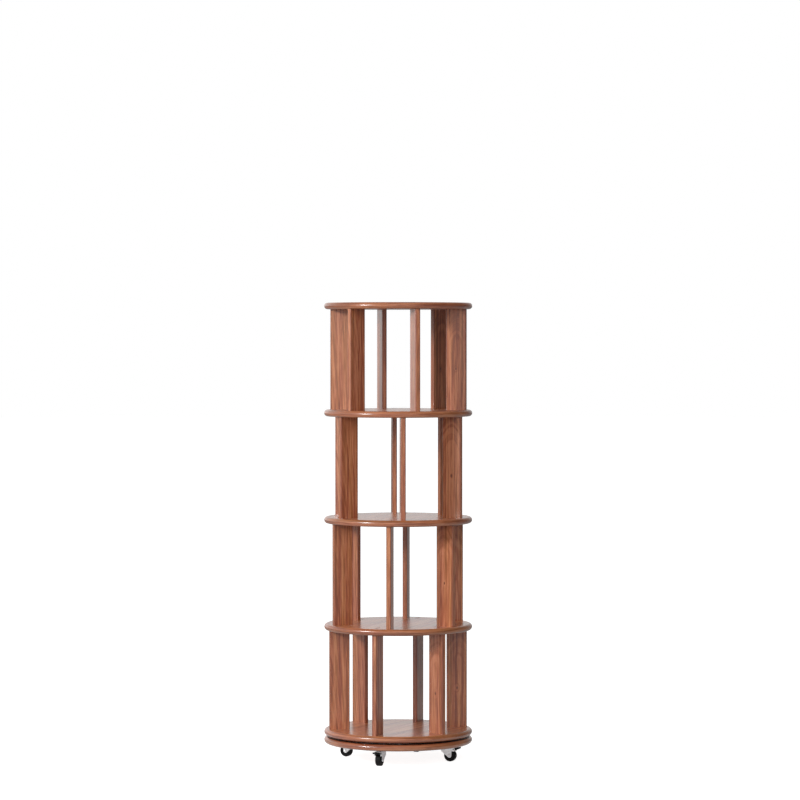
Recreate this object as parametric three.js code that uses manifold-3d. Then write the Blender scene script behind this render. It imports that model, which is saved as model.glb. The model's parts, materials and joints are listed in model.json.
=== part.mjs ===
// Revolving bookcase: five round shelves and four tiers of radial dividers turn on a base disc with casters.
// Millimetres, +Z up. The origin is on the floor under the turning axis.
// The front faces -Y and +X is on its right. An azimuth is counted from the front towards +X.

import * as THREE from 'three';
import { mergeVertices } from 'three/addons/utils/BufferGeometryUtils.js';
import Module from 'manifold-3d';

const wasm = await Module();
wasm.setup();

// Shelves and tiers, from the bottom up
const shelfDiameter = 460;
const shelfThickness = 20;
const bottomTierHeight = 307;
const upperTierHeight = 312;
const upperTierCount = 3;
const shelfNames = ['bottom_shelf', 'second_shelf', 'third_shelf', 'fourth_shelf', 'top_shelf'];

// Dividers, set on edge like the spokes of a wheel
const dividerWidth = 63;
const dividerThickness = 15;
const dividerInset = 13;
const dividerCornerRadius = 3;
const dividersPerTier = 6;
const firstDividerAzimuth = THREE.MathUtils.degToRad(-19.83);
const tierTwist = THREE.MathUtils.degToRad(12);

// Base disc, as wide as the shelves, and the gap that keeps the turning stack off it
const baseThickness = 20;
const turningGap = 5;

// Thin ring bearing, let into both discs
const ballTrackRadius = 127.5;
const ballDiameter = 4;
const ballCount = 18;
const bearingRingWidth = 22;
const bearingRingHeight = 8;
const bearingPocketDepth = 2.5;
const pocketClearance = 1;
const raceWallGap = 1.6;
const cageThickness = 0.8;
const cageHeight = 3;

// Casters: where they stand and their main sizes
const casterNames = ['front', 'right', 'back', 'left'];
const firstCasterAzimuth = THREE.MathUtils.degToRad(-19.5);
const casterInset = 72.5;
const casterHeight = 52;
const casterTrail = 14;
const wheelDiameter = 38;
const wheelWidth = 17;
const wheelShoulderRadius = 2.5;
const wheelHubDiameter = 14;
const wheelDishDiameter = 27;
const wheelDishDepth = 1.5;
const axleDiameter = 5;
const axleHeadDiameter = 9;
const axleHeadHeight = 1.8;

// Caster mounting plate and its four screw holes
const plateLength = 46;
const plateWidth = 40;
const plateThickness = 2.5;
const plateCornerRadius = 4;
const plateHoleDiameter = 4.4;
const plateHoleMargin = 6;
const raceBossDiameter = 25;
const raceBossHeight = 1.5;

// Caster fork, pressed from sheet
const forkSheetThickness = 2;
const forkNose = 13;
const forkCrownTail = 8;
const forkCheekReach = 17;
const forkSkirtDepth = 13;
const forkTipRadius = 6.5;
const raceDishDiameter = 26;
const raceDishHeight = 2;

// Kingpin rivet through the fork and the plate
const kingpinDiameter = 8;
const kingpinHeadDiameter = 13;
const kingpinHeadHeight = 1.4;

// Brake pedal, hinged between the cheeks of the fork
const pedalBladeWidth = 24;
const pedalBladeThickness = 4.5;
const pedalReach = 14;
const pedalBladeDrop = 2.5;
const pedalTipRise = 2;
const pedalShoulder = 1.5;
const pedalPivotInset = 4;
const pedalPivotDrop = 6.3;
const pedalPivotDiameter = 4;
const pedalCamDrop = 4.6;
const pedalCamOffset = 1.5;
const pedalHubRadius = 4;

// Clearances
const seatGap = 0.3;
const turningClearance = 0.3;
const swivelGap = 0.4;
const wheelSideGap = 1;

// How finely round shapes are divided
const discSegments = 64;
const noseSegments = 6;
const bearingSegments = 60;
const grooveSegments = 3;
const ballDetail = 1;
const wheelSegments = 20;
const roundSegments = 14;
const holeSegments = 10;
const cornerSegments = 2;
const tipSegments = 5;

// One overrun serves all cuts
const cutOverrun = 1;

// Heights, worked out upwards from the floor
const baseBottom = casterHeight;
const baseTop = baseBottom + baseThickness;
const tierHeights = [bottomTierHeight, ...Array(upperTierCount).fill(upperTierHeight)];
const shelfBottoms = [baseTop + turningGap];
for (const tierHeight of tierHeights) {
  shelfBottoms.push(shelfBottoms.at(-1) + shelfThickness + tierHeight);
}

// Materials
const wood = new THREE.MeshStandardMaterial({ color: 0x8a5a42, roughness: 0.45, metalness: 0 });
const aluminium = new THREE.MeshStandardMaterial({ color: 0xb4b6b8, roughness: 0.4, metalness: 1 });
const zincSteel = new THREE.MeshStandardMaterial({ color: 0xcdced0, roughness: 0.35, metalness: 1 });
const blackPlastic = new THREE.MeshStandardMaterial({ color: 0x111113, roughness: 0.5, metalness: 0 });
const wheelPlastic = new THREE.MeshStandardMaterial({ color: 0x0d0d0f, roughness: 0.6, metalness: 0 });

const bookcase = new THREE.Group();

// Adds one named piece to a group at a height.
function addPiece(group, name, geometry, material, height = 0) {
  const piece = new THREE.Mesh(geometry, material);
  piece.name = name;
  piece.position.z = height;
  group.add(piece);
  return piece;
}

// A group that stands at a radius and azimuth, with its own +X pointing away from the turning axis.
function radialGroup(azimuth, radius) {
  const group = new THREE.Group();
  group.position.set(radius * Math.sin(azimuth), -radius * Math.cos(azimuth), 0);
  group.rotation.z = azimuth - Math.PI / 2;
  bookcase.add(group);
  return group;
}

// A profile of [radius, height] points turned round +Z.
function turned(profile, segments) {
  const points = profile.map(([radius, height]) => new THREE.Vector2(radius, height));
  const geometry = new THREE.LatheGeometry(points, segments);
  geometry.rotateX(Math.PI / 2);
  return geometry;
}

// Points of an arc about a centre, from one angle to another.
function arcPoints(centreX, centreY, radius, fromAngle, toAngle, segments) {
  const points = [];
  for (let step = 0; step <= segments; step += 1) {
    const angle = THREE.MathUtils.lerp(fromAngle, toAngle, step / segments);
    points.push([centreX + radius * Math.cos(angle), centreY + radius * Math.sin(angle)]);
  }
  return points;
}

// A flat shape drawn in X and Y, raised along +Z from zero.
function raised(shape, height) {
  return new THREE.ExtrudeGeometry(shape, {
    depth: height,
    bevelEnabled: false,
    curveSegments: cornerSegments,
  });
}

// A flat shape drawn in X and Z, as wide as given along Y and centred on it.
function standing(shape, width) {
  const geometry = raised(shape, width);
  geometry.rotateX(Math.PI / 2);
  geometry.translate(0, width / 2, 0);
  return geometry;
}

// A shape through [x, y] points.
function outline(points) {
  return new THREE.Shape(points.map(([x, y]) => new THREE.Vector2(x, y)));
}

// A rectangle with rounded corners, centred on the origin.
function roundedRectangle(length, width, radius) {
  const x = length / 2 - radius;
  const y = width / 2 - radius;
  const corner = (signX, signY, start) =>
    arcPoints(signX * x, signY * y, radius, start, start + Math.PI / 2, cornerSegments);
  return outline([
    ...corner(1, 1, 0),
    ...corner(-1, 1, Math.PI / 2),
    ...corner(-1, -1, Math.PI),
    ...corner(1, -1, -Math.PI / 2),
  ]);
}

// A closed mesh as a solid that can be joined and cut.
function solid(geometry) {
  const bare = geometry.clone();
  bare.deleteAttribute('normal');
  bare.deleteAttribute('uv');
  const merged = mergeVertices(bare.index ? bare.toNonIndexed() : bare);
  return new wasm.Manifold(
    new wasm.Mesh({
      numProp: 3,
      vertProperties: new Float32Array(merged.attributes.position.array),
      triVerts: new Uint32Array(merged.index.array),
    }),
  );
}

// A solid back as a mesh geometry.
function meshed(joined) {
  const mesh = joined.getMesh();
  const geometry = new THREE.BufferGeometry();
  geometry.setAttribute('position', new THREE.BufferAttribute(mesh.vertProperties, 3));
  geometry.setIndex(new THREE.BufferAttribute(mesh.triVerts, 1));
  return geometry;
}

// Several geometries joined into one solid.
function joinedSolid(geometries) {
  return geometries.map(solid).reduce((whole, part) => whole.add(part));
}

// A round bar along Z between two heights.
function upright(diameter, bottom, top, segments = roundSegments) {
  const geometry = new THREE.CylinderGeometry(diameter / 2, diameter / 2, top - bottom, segments);
  geometry.rotateX(Math.PI / 2);
  geometry.translate(0, 0, (bottom + top) / 2);
  return geometry;
}

// A round bar along Y, centred on it, at a place in X and Z.
function crossbar(diameter, length, x, z) {
  const geometry = new THREE.CylinderGeometry(diameter / 2, diameter / 2, length, holeSegments);
  geometry.translate(x, 0, z);
  return geometry;
}

// Shelves and base disc: round boards with a half-round edge, two of them with a pocket for the bearing.
const pocketInner = ballTrackRadius - raceWallGap / 2 - bearingRingWidth - pocketClearance;
const pocketOuter = ballTrackRadius + raceWallGap / 2 + bearingRingWidth + pocketClearance;

function roundBoard(thickness, pocketBelow, pocketAbove) {
  const noseRadius = thickness / 2;
  const below = [
    [pocketInner, 0],
    [pocketInner, bearingPocketDepth],
    [pocketOuter, bearingPocketDepth],
    [pocketOuter, 0],
  ];
  const above = [
    [pocketOuter, thickness],
    [pocketOuter, thickness - bearingPocketDepth],
    [pocketInner, thickness - bearingPocketDepth],
    [pocketInner, thickness],
  ];
  const noseCentre = shelfDiameter / 2 - noseRadius;
  const nose = arcPoints(noseCentre, noseRadius, noseRadius, -Math.PI / 2, Math.PI / 2, noseSegments);
  return turned(
    [[0, 0], ...(pocketBelow ? below : []), ...nose, ...(pocketAbove ? above : []), [0, thickness]],
    discSegments,
  );
}

shelfNames.forEach((name, level) => {
  addPiece(bookcase, name, roundBoard(shelfThickness, level === 0, false), wood, shelfBottoms[level]);
});
addPiece(bookcase, 'base_disc', roundBoard(baseThickness, false, true), wood, baseBottom);

// Dividers: each tier is turned against the one below, so that the screws of one tier miss the next.
const dividerRadius = shelfDiameter / 2 - dividerInset - dividerWidth / 2;

tierHeights.forEach((tierHeight, tier) => {
  const board = raised(
    roundedRectangle(dividerWidth, dividerThickness, dividerCornerRadius),
    tierHeight - 2 * seatGap,
  );
  for (let spoke = 0; spoke < dividersPerTier; spoke += 1) {
    const azimuth = firstDividerAzimuth + tier * tierTwist + (spoke * 2 * Math.PI) / dividersPerTier;
    const group = radialGroup(azimuth, dividerRadius);
    const name = `tier_${tier + 1}_divider_${spoke + 1}`;
    addPiece(group, name, board, wood, shelfBottoms[tier] + shelfThickness + seatGap);
  }
});

// Ring bearing: a ring screwed to the base, a ring under the bottom shelf and caged balls between them.
const ballHeight = baseTop + turningGap / 2;
const grooveRadius = ballDiameter / 2 + turningClearance;
const grooveHalfAngle = Math.acos(raceWallGap / 2 / grooveRadius);

function bearingRing(side, bottom) {
  const wall = ballTrackRadius + (side * raceWallGap) / 2;
  const far = wall + side * bearingRingWidth;
  const top = bottom + bearingRingHeight;
  const middle = side > 0 ? 0 : Math.PI;
  const groove = arcPoints(
    ballTrackRadius,
    ballHeight,
    grooveRadius,
    middle + side * grooveHalfAngle,
    middle - side * grooveHalfAngle,
    grooveSegments,
  );
  const loop = [[wall, top], ...groove, [wall, bottom], [far, bottom], [far, top], [wall, top]];
  return turned(side > 0 ? loop : loop.reverse(), bearingSegments);
}

function ballCage() {
  const inner = ballTrackRadius - cageThickness / 2;
  const outer = ballTrackRadius + cageThickness / 2;
  const bottom = ballHeight - cageHeight / 2;
  const top = ballHeight + cageHeight / 2;
  const section = [[inner, bottom], [outer, bottom], [outer, top], [inner, top], [inner, bottom]];
  const band = turned(section, bearingSegments);
  const balls = [];
  for (let count = 0; count < ballCount; count += 1) {
    const angle = (count * 2 * Math.PI) / ballCount;
    const ball = new THREE.OctahedronGeometry(ballDiameter / 2, ballDetail);
    ball.translate(ballTrackRadius * Math.cos(angle), ballTrackRadius * Math.sin(angle), ballHeight);
    balls.push(ball);
  }
  return meshed(joinedSolid([band, ...balls]));
}

const lowerRingBottom = baseTop - bearingPocketDepth + seatGap;
const upperRingBottom = shelfBottoms[0] + bearingPocketDepth - seatGap - bearingRingHeight;
addPiece(bookcase, 'turntable_lower_ring', bearingRing(1, lowerRingBottom), aluminium);
addPiece(bookcase, 'turntable_upper_ring', bearingRing(-1, upperRingBottom), aluminium);
addPiece(bookcase, 'turntable_ball_cage', ballCage(), zincSteel);

// Caster heights, worked out downwards from the base disc
const plateTop = casterHeight - seatGap;
const plateBottom = plateTop - plateThickness;
const raceBossBottom = plateBottom - raceBossHeight;
const raceDishTop = raceBossBottom - swivelGap;
const crownTop = raceDishTop - raceDishHeight;
const crownBottom = crownTop - forkSheetThickness;
const skirtBottom = crownTop - forkSkirtDepth;
const axleHeight = wheelDiameter / 2;
const cheekEnd = casterTrail + forkCheekReach;
const cheekInside = wheelWidth / 2 + wheelSideGap;
const forkWidth = 2 * (cheekInside + forkSheetThickness);
const kingpinHole = kingpinDiameter + 2 * turningClearance;
const kingpinHeadHole = kingpinHeadDiameter + 2 * turningClearance;

// Mounting plate with the fixed half of the swivel race under it
function casterPlate() {
  const slab = raised(roundedRectangle(plateLength, plateWidth, plateCornerRadius), plateThickness);
  slab.translate(0, 0, plateBottom);
  const raceBoss = upright(raceBossDiameter, raceBossBottom, plateBottom + plateThickness / 2);
  let plate = joinedSolid([slab, raceBoss]);
  const headSeat = plateTop - kingpinHeadHeight - seatGap;
  plate = plate.subtract(solid(upright(kingpinHole, raceBossBottom - cutOverrun, plateTop + cutOverrun)));
  plate = plate.subtract(solid(upright(kingpinHeadHole, headSeat - seatGap, plateTop + cutOverrun)));
  const holeX = plateLength / 2 - plateHoleMargin;
  const holeY = plateWidth / 2 - plateHoleMargin;
  for (const [signX, signY] of [[1, 1], [-1, 1], [-1, -1], [1, -1]]) {
    const hole = upright(plateHoleDiameter, plateBottom - cutOverrun, plateTop + cutOverrun, holeSegments);
    hole.translate(signX * holeX, signY * holeY, 0);
    plate = plate.subtract(solid(hole));
  }
  return meshed(plate);
}

// Kingpin: a rivet with a head let into the plate and a head under the crown of the fork
function casterKingpin() {
  const shank = kingpinDiameter / 2;
  const head = kingpinHeadDiameter / 2;
  const topHeadTop = plateTop - seatGap;
  const topHeadBottom = topHeadTop - kingpinHeadHeight;
  const bottomHeadTop = crownBottom - seatGap;
  const bottomHeadBottom = bottomHeadTop - kingpinHeadHeight;
  return turned(
    [
      [0, bottomHeadBottom],
      [head, bottomHeadBottom],
      [head, bottomHeadTop],
      [shank, bottomHeadTop],
      [shank, topHeadBottom],
      [head, topHeadBottom],
      [head, topHeadTop],
      [0, topHeadTop],
    ],
    roundSegments,
  );
}

// Cheek of the fork: a deep skirt along the top and a leg that tapers down to the axle
function forkCheek() {
  const toSkirt = new THREE.Vector2(-forkNose - casterTrail, skirtBottom - axleHeight);
  const tangent = toSkirt.angle() + Math.acos(forkTipRadius / toSkirt.length());
  return standing(
    outline([
      [-forkNose, crownTop],
      [-forkNose, skirtBottom],
      ...arcPoints(casterTrail, axleHeight, forkTipRadius, tangent, 2 * Math.PI, tipSegments),
      [casterTrail + forkTipRadius, skirtBottom],
      [cheekEnd, skirtBottom],
      [cheekEnd, crownTop],
    ]),
    forkSheetThickness,
  );
}

function casterFork() {
  const crownEnd = casterTrail + forkCrownTail;
  const crown = new THREE.BoxGeometry(crownEnd + forkNose, forkWidth, forkSheetThickness);
  crown.translate((crownEnd - forkNose) / 2, 0, crownTop - forkSheetThickness / 2);
  const cheeks = [-1, 1].map((side) => {
    const cheek = forkCheek();
    cheek.translate(0, side * (cheekInside + forkSheetThickness / 2), 0);
    return cheek;
  });
  const dish = upright(raceDishDiameter, crownTop - forkSheetThickness / 2, raceDishTop);
  const pivotHole = pedalPivotDiameter + 2 * turningClearance;
  const axleHole = axleDiameter + 2 * turningClearance;
  const cutLength = forkWidth + 2 * cutOverrun;
  const holes = joinedSolid([
    upright(kingpinHole, crownBottom - cutOverrun, raceDishTop + cutOverrun),
    crossbar(axleHole, cutLength, casterTrail, axleHeight),
    crossbar(pivotHole, cutLength, pedalPivotX, pedalPivotZ),
  ]);
  return meshed(joinedSolid([crown, dish, ...cheeks]).subtract(holes));
}

// Wheel: a tread with rounded shoulders and dished sides round a hub
function casterWheel() {
  const tread = wheelDiameter / 2;
  const bore = axleDiameter / 2 + turningClearance;
  const hub = wheelHubDiameter / 2;
  const dish = wheelDishDiameter / 2;
  const side = wheelWidth / 2;
  const shoulder = wheelShoulderRadius;
  const rightHalf = [
    ...arcPoints(tread - shoulder, side - shoulder, shoulder, 0, Math.PI / 2, cornerSegments),
    [dish, side],
    [dish - wheelDishDepth, side - wheelDishDepth],
    [hub, side - wheelDishDepth],
    [hub, side],
    [bore, side],
  ];
  const leftHalf = rightHalf.map(([radius, height]) => [radius, -height]).reverse();
  const wheel = turned([...leftHalf, ...rightHalf, leftHalf[0]], wheelSegments);
  wheel.rotateX(Math.PI / 2);
  wheel.translate(casterTrail, 0, axleHeight);
  return wheel;
}

// Axle: a bolt across the fork, with a head at one end and a closed nut at the other
function casterAxle() {
  const shank = axleDiameter / 2;
  const head = axleHeadDiameter / 2;
  const headInside = forkWidth / 2 + seatGap;
  const headOutside = headInside + axleHeadHeight;
  const axle = turned(
    [
      [0, -headOutside],
      [head, -headOutside],
      [head, -headInside],
      [shank, -headInside],
      [shank, headInside],
      [head, headInside],
      [head, headOutside],
      [0, headOutside],
    ],
    roundSegments,
  );
  axle.rotateX(Math.PI / 2);
  axle.translate(casterTrail, 0, axleHeight);
  return axle;
}

// Brake pedal: a hub and cam that fit between the cheeks, and a wider blade that reaches out past the wheel
const pedalPivotX = cheekEnd - pedalPivotInset;
const pedalPivotZ = crownTop - pedalPivotDrop;
const bladeStart = cheekEnd + pedalShoulder;
const bladeEnd = cheekEnd + pedalReach;
const bladeTop = crownTop - pedalBladeDrop;

function casterPedal() {
  const hub = arcPoints(pedalPivotX, pedalPivotZ, pedalHubRadius, Math.PI / 2, Math.PI, cornerSegments);
  const body = standing(
    outline([
      ...hub,
      [pedalPivotX + pedalCamOffset, pedalPivotZ - pedalCamDrop],
      [bladeStart, pedalPivotZ - pedalHubRadius],
      [(bladeStart + bladeEnd) / 2, bladeTop - pedalBladeThickness],
      [(bladeStart + bladeEnd) / 2, bladeTop],
      [bladeStart, bladeTop],
    ]),
    wheelWidth,
  );
  const blade = standing(
    outline([
      [bladeStart, bladeTop - pedalBladeThickness],
      [bladeEnd, bladeTop - pedalBladeThickness + pedalTipRise],
      [bladeEnd, bladeTop + pedalTipRise / 2],
      [bladeEnd - pedalTipRise, bladeTop + pedalTipRise],
      [bladeStart, bladeTop],
    ]),
    pedalBladeWidth,
  );
  const pivot = crossbar(pedalPivotDiameter, forkWidth, pedalPivotX, pedalPivotZ);
  return meshed(joinedSolid([body, blade, pivot]));
}

const plateGeometry = casterPlate();
const kingpinGeometry = casterKingpin();
const forkGeometry = casterFork();
const wheelGeometry = casterWheel();
const axleGeometry = casterAxle();
const pedalGeometry = casterPedal();

const kingpinRadius = shelfDiameter / 2 - casterInset;

casterNames.forEach((name, index) => {
  const azimuth = firstCasterAzimuth + (index * 2 * Math.PI) / casterNames.length;
  const group = radialGroup(azimuth, kingpinRadius);
  addPiece(group, `${name}_caster_plate`, plateGeometry, zincSteel);
  addPiece(group, `${name}_caster_kingpin`, kingpinGeometry, zincSteel);
  addPiece(group, `${name}_caster_fork`, forkGeometry, zincSteel);
  addPiece(group, `${name}_caster_axle`, axleGeometry, zincSteel);
  addPiece(group, `${name}_caster_wheel`, wheelGeometry, wheelPlastic);
  addPiece(group, `${name}_caster_brake_pedal`, pedalGeometry, blackPlastic);
});

export default bookcase;
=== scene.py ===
import json
import math

import bmesh
import bpy
from mathutils import Matrix, Vector


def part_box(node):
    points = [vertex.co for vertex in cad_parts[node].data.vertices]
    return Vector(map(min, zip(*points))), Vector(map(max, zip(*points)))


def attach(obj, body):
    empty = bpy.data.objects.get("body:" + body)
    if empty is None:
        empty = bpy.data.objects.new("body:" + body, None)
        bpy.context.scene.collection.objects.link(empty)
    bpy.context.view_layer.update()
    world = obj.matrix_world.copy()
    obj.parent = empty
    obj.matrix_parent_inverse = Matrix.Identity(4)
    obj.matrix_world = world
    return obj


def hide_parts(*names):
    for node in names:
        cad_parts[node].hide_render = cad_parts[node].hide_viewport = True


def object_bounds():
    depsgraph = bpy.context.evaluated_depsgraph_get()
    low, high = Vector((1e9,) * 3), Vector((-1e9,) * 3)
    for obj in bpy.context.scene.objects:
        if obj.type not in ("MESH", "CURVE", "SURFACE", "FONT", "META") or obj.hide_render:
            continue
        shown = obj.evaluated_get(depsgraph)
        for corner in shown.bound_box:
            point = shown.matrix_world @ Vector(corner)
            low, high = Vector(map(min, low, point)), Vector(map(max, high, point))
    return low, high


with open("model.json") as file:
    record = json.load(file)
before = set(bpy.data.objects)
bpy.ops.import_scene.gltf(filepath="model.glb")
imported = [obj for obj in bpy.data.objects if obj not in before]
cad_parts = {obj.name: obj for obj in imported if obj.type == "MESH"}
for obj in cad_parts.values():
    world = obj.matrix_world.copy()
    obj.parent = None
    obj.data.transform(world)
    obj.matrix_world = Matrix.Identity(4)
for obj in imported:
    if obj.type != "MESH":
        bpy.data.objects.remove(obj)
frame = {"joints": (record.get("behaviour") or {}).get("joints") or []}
cad_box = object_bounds()


# Base disc: a round board with a half-round edge, stained red-brown and lacquered. It stands still on
# its casters while the shelves turn above it. The ring bearing sits in a shallow pocket in its top.
disc_low, disc_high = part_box("base_disc")
disc_radius = disc_high.x
disc_nose_steps = 14
disc_round_steps = 180
edge_angle = math.radians(35)
bearing_ring_width = 0.022
bearing_pocket_depth = 0.0025
bearing_pocket_clearance = 0.001
lower_ring_low, lower_ring_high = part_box("turntable_lower_ring")
upper_ring_low, upper_ring_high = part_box("turntable_upper_ring")
pocket_outer = lower_ring_high.x + bearing_pocket_clearance
pocket_inner = upper_ring_high.x - bearing_ring_width - bearing_pocket_clearance

wood_tones = (
    (0.0, (0.70, 0.296, 0.154, 1)),
    (0.35, (0.515, 0.183, 0.087, 1)),
    (0.65, (0.37, 0.110, 0.045, 1)),
    (1.0, (0.16, 0.040, 0.017, 1)),
)
wood_tan = (0.57, 0.232, 0.068, 1)
wood_red = (0.432, 0.114, 0.052, 1)
# Painted shade colour for the rounded upright edges of the dividers.
painted_edge_shade = (0.24, 0.056, 0.026, 1)
# Dark colour of veins, pores and knots, also used for the painted shade in the gap between boards.
wood_vein_and_gap_shade = (0.12, 0.034, 0.017, 1)
base_grain_angle = 30
plank_width = 0.078
edge_lip = 0.0102
plank_shift = 0.37
plank_slide = 0.9
plank_seed_jump = 11.0
lip_blend = 0.0002
lip_coarseness = 0.45

ring_spacing = 0.0052
heart_depth = 0.050
heart_reach = 0.040
heart_slope = 0.085
half_board = 0.006
climb_from = 0.05
climb_to = 0.17
climb_height = 0.022
sway_width = 0.008
ring_sway_width = 0.012
board_jump = 3.7
ring_jump = 50.0
sway_scale = (14.0, 14.0, 5.0)
ring_detail = 2.0
ring_roughness = 0.55
ring_seen = (0.38, 0.64)
ring_tone = (-0.18, 0.24)
# Layers of the grain: scale along each axis, detail and roughness of the noise, the range of it that
# shows, and the change of tone over that range.
wood_layers = {
    "bands": ((48.0, 48.0, 1.6), 2.0, 0.5, (0.30, 0.70), (-0.10, 0.16)),
    "streaks": ((170.0, 170.0, 2.6), 3.0, 0.6, (0.36, 0.64), (-0.38, 0.38)),
    "flecks": ((300.0, 300.0, 15.0), 2.0, 0.6, (0.32, 0.68), (-0.32, 0.32)),
    "fibres": ((1100.0, 1100.0, 24.0), 2.0, 0.6, (0.30, 0.70), (-0.16, 0.16)),
}
line_scale = (95.0, 95.0, 1.7)
line_width = 0.035
line_tone = 0.36
hue_scale = (70.0, 70.0, 2.6)
hue_seen = (0.40, 0.68)
pore_scale = (1600.0, 1600.0, 75.0)
pore_detail = 1.0
pore_seen = (0.62, 0.72)
pore_share = 0.35
board_tone = 0.42
rim_tone = 0.58
rim_strength = 0.9
rim_tan_share = 0.35
tone_difference = 0.05
# Painted shade in the gap between base disc and bottom shelf: how near a face lies to the given height, and
# how dark it is painted.
gap_shade_reach = (0.0002, 0.0006)
gap_shade_darkness = 0.9

knot_low = -0.020
knot_high = -0.032
knot_radius = 0.0036
knot_core = 0.00144
knot_reach = 0.011
knot_bulge = 0.006
knot_squash = 0.6
knot_face = (-0.0055, -0.0072)
knot_darkness = 0.95
# Painted shade along the rounded upright edges of each divider: where it lies across and through the board,
# and how strong.
corner_across = (0.0272, 0.030)
corner_through = (0.0036, 0.006)
corner_shade_share = 0.6

bands_seen = (0.2, 0.8)
wood_dullness = (0.38, 0.50)
pore_dullness = 0.15
fibre_relief = 0.3
wood_relief = (0.25, 0.0002)
wood_gloss = 0.15
lacquer_index = 1.72
lacquer_dullness = 0.24


def arc(middle, radius, start, end, steps):
    """Points (radius, height) along an arc between two angles in degrees."""
    turns = [math.radians(start + (end - start) * step / steps) for step in range(steps + 1)]
    return [(middle[0] + radius * math.cos(turn), middle[1] + radius * math.sin(turn)) for turn in turns]


def placed(name, data):
    """A new object in the scene."""
    thing = bpy.data.objects.new(name, data)
    bpy.context.scene.collection.objects.link(thing)
    return thing


def meshed(shape, name):
    """The mesh of a built shape, with its faces outwards."""
    bmesh.ops.recalc_face_normals(shape, faces=shape.faces)
    mesh = bpy.data.meshes.new(name)
    shape.to_mesh(mesh)
    shape.free()
    return mesh


def turned(profile, segments, sides=0):
    """A mesh turned round Z from (radius, height) points. Where sides is set, (radius, height, 1) points
    lie on a polygon of that many sides, and the radius is measured to its flats."""
    shape = bmesh.new()
    rings = []
    for radius, height, *flat in profile:
        ring = []
        for step in range(segments if radius > 0 else 1):
            turn = 2 * math.pi * step / segments
            reach = radius
            if flat and sides:
                reach /= math.cos(turn % (2 * math.pi / sides) - math.pi / sides)
            ring.append(shape.verts.new((reach * math.cos(turn), reach * math.sin(turn), height)))
        rings.append(ring)
    if profile[0][0] > 0:
        rings.append(rings[0])
    for lower, upper in zip(rings, rings[1:]):
        for step in range(segments):
            after = step + 1
            corners = [lower[step % len(lower)], lower[after % len(lower)]]
            corners += [upper[after % len(upper)], upper[step % len(upper)]]
            corners = list(dict.fromkeys(corners))
            if len(corners) > 2:
                shape.faces.new(corners)
    return meshed(shape, "turned")


def finished(name, mesh, material, body, nodes=()):
    """A finished piece: smooth between its edges, riding on its body and standing for its CAD nodes."""
    piece = placed(name, mesh)
    mesh.materials.clear()
    mesh.materials.append(material)
    mesh.shade_smooth()
    mesh.set_sharp_from_angle(angle=edge_angle)
    shading = piece.modifiers.new("even shading", "WEIGHTED_NORMAL")
    shading.keep_sharp = True
    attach(piece, body)
    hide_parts(*nodes)
    return piece


class Value:
    """A value in a node tree. It is added, multiplied and so on like a number or a vector."""

    def __init__(self, socket):
        self.socket = socket
        self.tree = socket.id_data

    def maths(self, operation, *others):
        """The result of a Math node, or of a Vector Math node where the value is a vector."""
        kind = "ShaderNodeVectorMath" if self.socket.type == "VECTOR" else "ShaderNodeMath"
        return result(self.tree, kind, dict(enumerate((self, *others))), operation=operation)

    def __add__(self, other):
        return self.maths("ADD", other)

    def __sub__(self, other):
        return self.maths("SUBTRACT", other)

    def __mul__(self, other):
        return self.maths("MULTIPLY", other)

    def __truediv__(self, other):
        return self.maths("DIVIDE", other)

    def __rtruediv__(self, other):
        return result(self.tree, "ShaderNodeMath", {0: other, 1: self}, operation="DIVIDE")

    def parts(self):
        """The X, Y and Z of a vector."""
        return [Value(part) for part in add(self.tree, "ShaderNodeSeparateXYZ", {0: self}).outputs]

    def length(self):
        """The length of a vector."""
        return result(self.tree, "ShaderNodeVectorMath", {0: self}, "Value", operation="LENGTH")

    def noise(self, scales, detail=2.0, roughness=0.5):
        """Noise at a place, with its own scale along each axis."""
        inputs = {"Vector": self * scales, "Scale": 1.0, "Detail": detail, "Roughness": roughness}
        return result(self.tree, "ShaderNodeTexNoise", inputs, "Fac")

    def spread(self, low, high, to_low=0.0, to_high=1.0, smooth=False):
        """The value moved from one range to another, and kept inside it."""
        inputs = {0: self, 1: low, 2: high, 3: to_low, 4: to_high}
        kind = "SMOOTHSTEP" if smooth else "LINEAR"
        return result(self.tree, "ShaderNodeMapRange", inputs, interpolation_type=kind)


def add(tree, kind, inputs=None, **settings):
    """A new node with its settings. Each input is a constant or a value of the tree."""
    node = tree.nodes.new(kind)
    for key, constant in settings.items():
        setattr(node, key, constant)
    for key, given in (inputs or {}).items():
        if isinstance(given, Value):
            tree.links.new(given.socket, node.inputs[key])
        else:
            node.inputs[key].default_value = given
    return node


def result(tree, kind, inputs=None, output=0, **settings):
    """The value that a new node gives out."""
    return Value(add(tree, kind, inputs, **settings).outputs[output])


def own_place(tree):
    """The place on a piece, in the piece's own coordinates."""
    return result(tree, "ShaderNodeTexCoord", output="Object")


def vector(tree, x=0.0, y=0.0, z=0.0):
    """A vector from its X, Y and Z."""
    return result(tree, "ShaderNodeCombineXYZ", {0: x, 1: y, 2: z})


def mixed(tree, factor, first, second):
    """Two colours mixed."""
    return result(tree, "ShaderNodeMix", {0: factor, 6: first, 7: second}, 2, data_type="RGBA")


def surface(shader, colour, dull, relief, strength, depth):
    """Gives a shader its colour, its roughness and a fine relief."""
    tree = shader.id_data
    bump = result(tree, "ShaderNodeBump", {"Strength": strength, "Distance": depth, "Height": relief})
    for name, value in (("Base Color", colour), ("Roughness", dull), ("Normal", bump)):
        tree.links.new(value.socket, shader.inputs[name])


def new_material(name, constants):
    """A material with its node tree and its Principled shader, on which the constants are set."""
    material = bpy.data.materials.new(name)
    material.use_nodes = True
    shader = material.node_tree.nodes["Principled BSDF"]
    for socket, constant in constants.items():
        shader.inputs[socket].default_value = constant
    return material, material.node_tree, shader


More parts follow.
